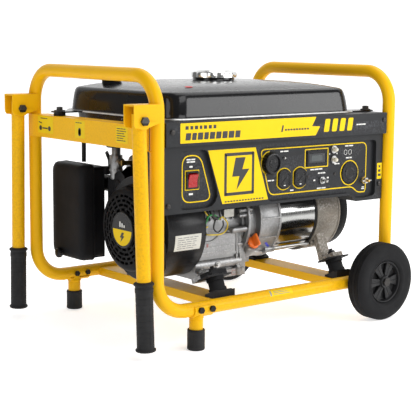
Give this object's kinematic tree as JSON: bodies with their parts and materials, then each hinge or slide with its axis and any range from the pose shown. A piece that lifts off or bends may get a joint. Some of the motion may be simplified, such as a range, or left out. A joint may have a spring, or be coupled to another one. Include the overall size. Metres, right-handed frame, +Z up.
{
  "type": "portable generator",
  "caption": "Open-frame portable generator: tubular frame on wheels and rubber feet, folding handles, fuel tank, control panel, recoil-start engine and alternator.",
  "frame": {"origin": "on the ground, at the centre of the bounding box's base", "axes": "+X towards the wheels and the alternator, -Y towards the control panel, +Z up"},
  "size_m": [0.701, 0.548, 0.5324],
  "materials": {
    "frame_yellow": "powder-coated yellow, semi-gloss",
    "black_rubber": "moulded black rubber",
    "tyre_rubber": "solid tyre rubber, matt",
    "wheel_plastic": "moulded black plastic",
    "dark_steel": "black-oxide steel",
    "tank_black": "gloss black paint",
    "panel_black": "textured black paint",
    "chrome_cap": "bright chrome",
    "black_plastic": "moulded black plastic",
    "red_plastic": "translucent red",
    "ivory_plastic": "moulded ivory",
    "bright_steel": "zinc plated",
    "brass": "brass",
    "cast_alloy": "die-cast, satin",
    "bell_alloy": "die-cast, painted warm grey",
    "rotor_iron": "varnished laminations and copper",
    "muffler_steel": "heat-dulled steel",
    "orange_plastic": "moulded orange"
  },
  "bodies": {
    "frame": {"left_hoop": "frame_yellow", "right_hoop": "frame_yellow", "side_rails": "frame_yellow", "crossmembers": "frame_yellow", "crossbars": "frame_yellow", "handle_brackets": "frame_yellow", "legs": "frame_yellow", "leg_boots": "black_rubber", "wheel_axles": "dark_steel", "bolts": "dark_steel", "fuel_tank": "tank_black", "fuel_gauge": "black_plastic", "fuel_valve_body": "bright_steel", "sediment_bowl": "bright_steel", "fuel_hoses": "black_rubber", "control_panel": "panel_black", "panel_back_cover": "panel_black", "switch_housing": "black_plastic", "receptacles": "black_plastic", "hour_meter": "black_plastic", "panel_bushings": "bright_steel", "ground_stud": "brass", "crankcase": "cast_alloy", "bell_housing": "cast_alloy", "cylinder_block": "cast_alloy", "valve_cover": "cast_alloy", "fan_housing": "panel_black", "recoil_cover": "black_plastic", "carburettor": "cast_alloy", "air_cleaner_base": "black_plastic", "muffler": "muffler_steel", "stator": "bright_steel", "end_bell": "bell_alloy", "end_cover": "panel_black", "rubber_mounts": "black_rubber"},
    "front_handle": {"front_handle_tube": "frame_yellow", "front_grip": "black_rubber"},
    "rear_handle": {"rear_handle_tube": "frame_yellow", "rear_grip": "black_rubber"},
    "front_wheel": {"front_wheel_hub": "wheel_plastic", "front_tyre": "tyre_rubber"},
    "rear_wheel": {"rear_wheel_hub": "wheel_plastic", "rear_tyre": "tyre_rubber"},
    "cap_seal": {"fuel_cap_gasket": "black_rubber"},
    "cap": {"fuel_cap": "chrome_cap"},
    "valve_lever": {"fuel_valve_lever": "brass"},
    "rocker": {"switch_rocker": "red_plastic"},
    "button_upper": {"breaker_button_upper": "ivory_plastic"},
    "button_lower": {"breaker_button_lower": "ivory_plastic"},
    "toggle": {"voltage_toggle": "bright_steel"},
    "wing_nut": {"ground_wing_nut": "bright_steel"},
    "rotating_shaft": {"crankshaft": "dark_steel", "flywheel": "cast_alloy", "rotor": "rotor_iron"},
    "starter_pulley": {"recoil_pulley": "black_plastic"},
    "grip": {"starter_grip": "black_plastic"},
    "oil_dipstick": {"dipstick": "orange_plastic"},
    "choke": {"choke_lever": "black_plastic"},
    "cleaner_cover": {"air_cleaner_cover": "black_plastic"},
    "cleaner_knob": {"air_cleaner_knob": "black_plastic"}
  },
  "joints": [
    {"name": "front_handle_fold", "type": "hinge", "parent": "frame", "child": "front_handle", "pos_m": [-0.328, -0.215, 0.44], "axis": [0, 1, 0], "range_deg": [0, 108]},
    {"name": "rear_handle_fold", "type": "hinge", "parent": "frame", "child": "rear_handle", "pos_m": [-0.328, 0.215, 0.44], "axis": [0, 1, 0], "range_deg": [-1, 108]},
    {"name": "front_wheel_spin", "type": "hinge", "parent": "frame", "child": "front_wheel", "pos_m": [0.2695, -0.25, 0.0815], "axis": [0, 1, 0], "continuous": true},
    {"name": "rear_wheel_spin", "type": "hinge", "parent": "frame", "child": "rear_wheel", "pos_m": [0.2695, 0.25, 0.0815], "axis": [0, 1, 0], "continuous": true},
    {"name": "fuel_cap_lift", "type": "slide", "parent": "frame", "child": "cap_seal", "axis": [0, 0, 1], "range_m": [0, 0.05]},
    {"name": "fuel_cap_turn", "type": "hinge", "parent": "cap_seal", "child": "cap", "pos_m": [0.016, 0, 0.51], "axis": [0, 0, 1], "range_deg": [0, 90]},
    {"name": "fuel_valve_turn", "type": "hinge", "parent": "frame", "child": "valve_lever", "pos_m": [-0.2, 0.03, 0.336], "axis": [0, 1, 0], "range_deg": [0, 90]},
    {"name": "engine_switch_rock", "type": "hinge", "parent": "frame", "child": "rocker", "pos_m": [-0.201, -0.205, 0.324], "axis": [1, 0, 0], "range_deg": [-20, 0]},
    {"name": "breaker_press_upper", "type": "slide", "parent": "frame", "child": "button_upper", "axis": [0, 1, 0], "range_m": [0, 0.003], "stiffness_N_per_m": 400},
    {"name": "breaker_press_lower", "type": "slide", "parent": "frame", "child": "button_lower", "axis": [0, 1, 0], "range_m": [0, 0.003], "stiffness_N_per_m": 400},
    {"name": "voltage_toggle_throw", "type": "hinge", "parent": "frame", "child": "toggle", "pos_m": [0.1355, -0.209, 0.3005], "axis": [0, 0, 1], "range_deg": [0, 28]},
    {"name": "ground_nut_turn", "type": "hinge", "parent": "frame", "child": "wing_nut", "pos_m": [0.2575, -0.215, 0.292], "axis": [0, 1, 0], "continuous": true},
    {"name": "crankshaft_spin", "type": "hinge", "parent": "frame", "child": "rotating_shaft", "pos_m": [0, -0.048, 0.213], "axis": [1, 0, 0], "continuous": true},
    {"name": "starter_pull", "type": "slide", "parent": "frame", "child": "grip", "axis": [0, -1, 0], "range_m": [0, 0.12]},
    {"name": "starter_pulley_turn", "type": "hinge", "parent": "frame", "child": "starter_pulley", "pos_m": [-0.229, -0.048, 0.213], "axis": [-1, 0, 0], "range_deg": [0, 165]},
    {"name": "dipstick_pull", "type": "slide", "parent": "frame", "child": "oil_dipstick", "axis": [0, -0.8192, 0.5736], "range_m": [0, 0.065]},
    {"name": "choke_swing", "type": "hinge", "parent": "frame", "child": "choke", "pos_m": [-0.191, 0.078, 0.316], "axis": [1, 0, 0], "range_deg": [0, 40]},
    {"name": "air_cleaner_cover_pull", "type": "slide", "parent": "frame", "child": "cleaner_cover", "axis": [-1, 0, 0], "range_m": [0, 0.05]},
    {"name": "air_cleaner_knob_turn", "type": "hinge", "parent": "cleaner_cover", "child": "cleaner_knob", "pos_m": [-0.265, 0.16, 0.139], "axis": [1, 0, 0], "continuous": true}
  ],
  "couplings": [
    {"joint": "starter_pulley_turn", "follows": "starter_pull", "rad_per_m": 23.753}
  ]
}
